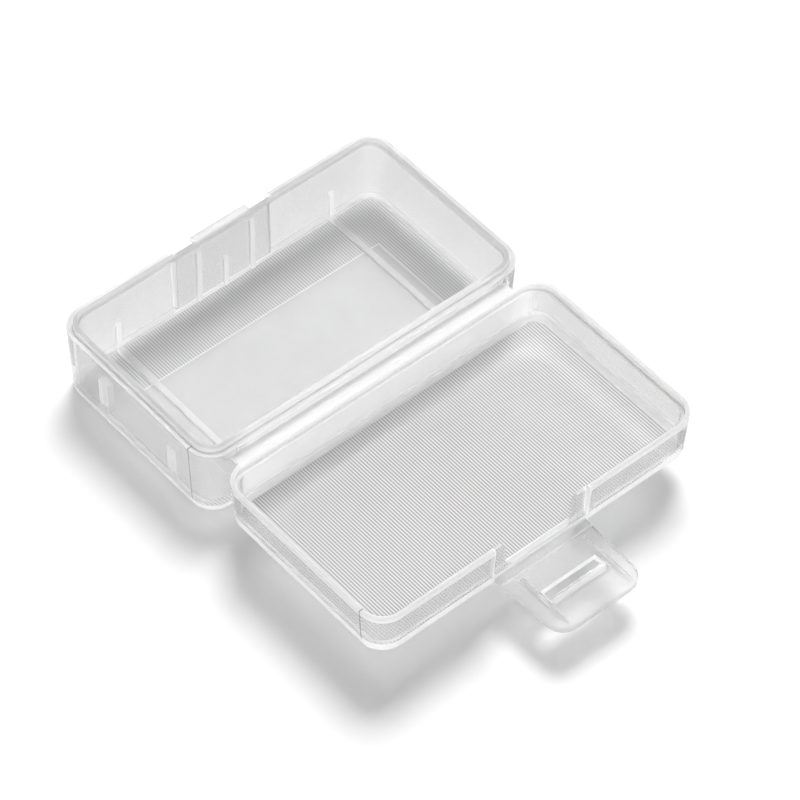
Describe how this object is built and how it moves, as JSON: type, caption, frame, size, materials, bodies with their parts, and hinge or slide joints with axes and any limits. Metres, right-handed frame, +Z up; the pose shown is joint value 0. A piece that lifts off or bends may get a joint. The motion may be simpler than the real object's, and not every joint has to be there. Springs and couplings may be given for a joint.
{
  "type": "battery case",
  "caption": "Small hinged case for a block battery, opened flat: ribbed tray, folding hinge strip, lid, and a latch flap whose bar hooks under a ledge.",
  "frame": {"origin": "middle of the tray's flat underside, on the surface that the case stands on", "axes": "+X along the case, +Y from the hinge to the tray's latch wall, +Z up"},
  "size_m": [0.058, 0.0825, 0.0129],
  "materials": {
    "shell_plastic": "translucent moulded polypropylene, satin, with fine grooves under both floors",
    "hinge_plastic": "thin translucent web, smoother than the shells",
    "flap_plastic": "translucent moulded polypropylene, satin"
  },
  "bodies": {
    "tray": {"tray": "shell_plastic"},
    "hinge_strip": {"hinge_strip": "hinge_plastic"},
    "lid": {"lid": "shell_plastic"},
    "latch_flap": {"latch_flap": "flap_plastic"}
  },
  "joints": [
    {"name": "tray_side_fold", "type": "hinge", "parent": "tray", "child": "hinge_strip", "pos_m": [0, -0.0169, 0.01115], "axis": [-1, 0, 0], "range_deg": [0, 90]},
    {"name": "lid_side_fold", "type": "hinge", "parent": "hinge_strip", "child": "lid", "pos_m": [0, -0.0193, 0.01115], "axis": [-1, 0, 0], "range_deg": [0, 90]},
    {"name": "latch_fold", "type": "hinge", "parent": "lid", "child": "latch_flap", "pos_m": [0, -0.0534, 0.0058], "axis": [-1, 0, 0], "range_deg": [0, 90]}
  ],
  "couplings": [
    {"joint": "lid_side_fold", "follows": "tray_side_fold", "ratio": 1}
  ]
}
